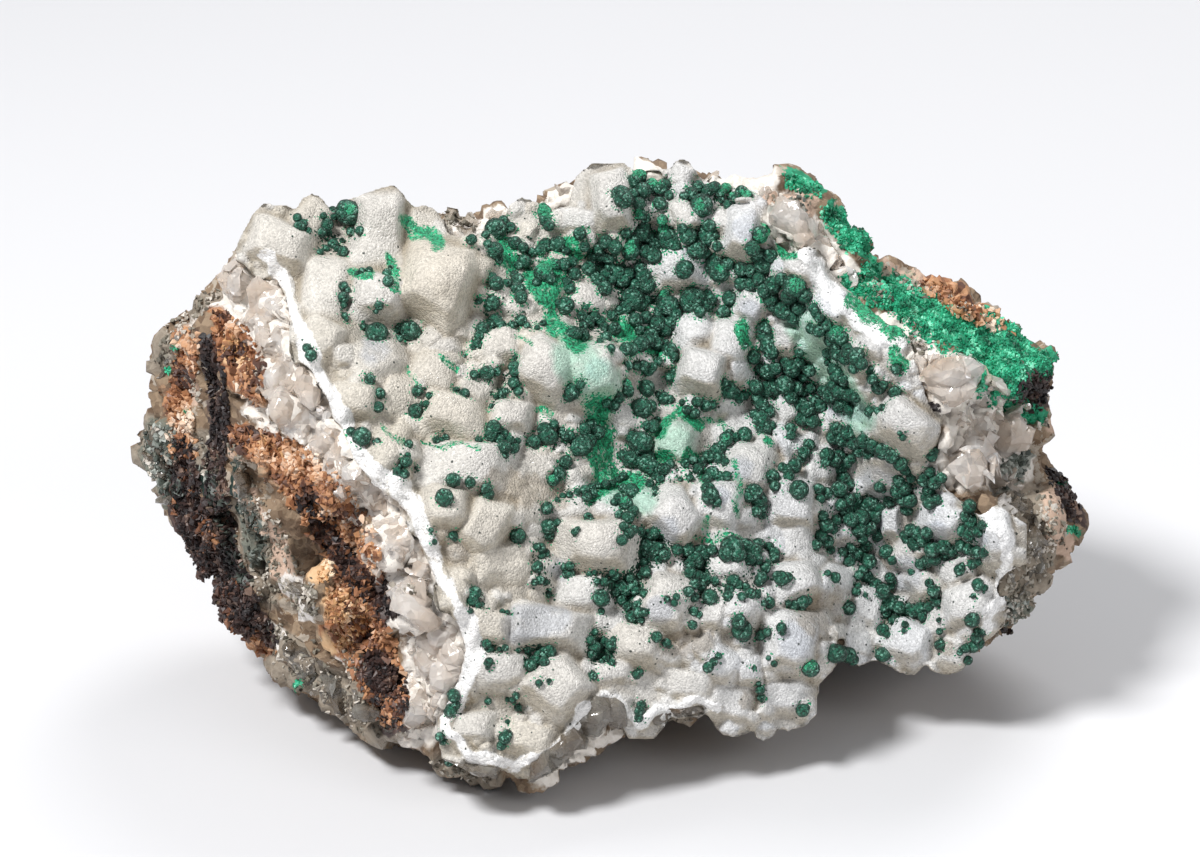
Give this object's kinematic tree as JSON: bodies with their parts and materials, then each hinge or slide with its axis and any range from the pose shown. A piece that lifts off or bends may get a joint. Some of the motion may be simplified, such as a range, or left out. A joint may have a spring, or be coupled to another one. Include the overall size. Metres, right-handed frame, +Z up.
{
  "type": "malachite on quartz specimen",
  "caption": "Loose mineral specimen: broken rock whose hollow is lined with frosted quartz crystals and dark green malachite balls, resting on a flat base.",
  "frame": {"origin": "middle of the bounding box's underside, on the surface the specimen rests on", "axes": "+X along the specimen's longest side, to the right seen from the front; +Y to the back, away from the crystal-lined hollow; +Z up"},
  "size_m": [0.1038, 0.0622, 0.0589],
  "materials": {
    "rock": "matte",
    "quartz": "satin",
    "malachite": "satin"
  },
  "bodies": {
    "root": {"malachite_01": "malachite", "malachite_02": "malachite", "malachite_03": "malachite", "malachite_04": "malachite", "malachite_05": "malachite", "malachite_06": "malachite", "malachite_07": "malachite", "malachite_08": "malachite", "malachite_09": "malachite", "malachite_10": "malachite", "malachite_11": "malachite", "malachite_12": "malachite", "malachite_13": "malachite", "malachite_14": "malachite", "malachite_15": "malachite", "malachite_16": "malachite", "malachite_17": "malachite", "malachite_18": "malachite", "malachite_19": "malachite", "malachite_20": "malachite", "malachite_21": "malachite", "malachite_22": "malachite", "malachite_23": "malachite", "malachite_24": "malachite", "malachite_25": "malachite", "malachite_26": "malachite", "malachite_27": "malachite", "malachite_28": "malachite", "malachite_29": "malachite", "malachite_30": "malachite", "malachite_31": "malachite", "malachite_32": "malachite", "malachite_33": "malachite", "malachite_34": "malachite", "malachite_35": "malachite", "malachite_36": "malachite", "malachite_37": "malachite", "malachite_38": "malachite", "malachite_39": "malachite", "malachite_40": "malachite", "malachite_41": "malachite", "malachite_42": "malachite", "malachite_43": "malachite", "malachite_44": "malachite", "malachite_45": "malachite", "malachite_46": "malachite", "malachite_47": "malachite", "malachite_48": "malachite", "malachite_49": "malachite", "malachite_50": "malachite", "malachite_51": "malachite", "malachite_52": "malachite", "malachite_53": "malachite", "malachite_54": "malachite", "malachite_55": "malachite", "malachite_56": "malachite", "malachite_57": "malachite", "matrix_rock": "rock", "quartz_druse": "quartz"}
  },
  "joints": []
}
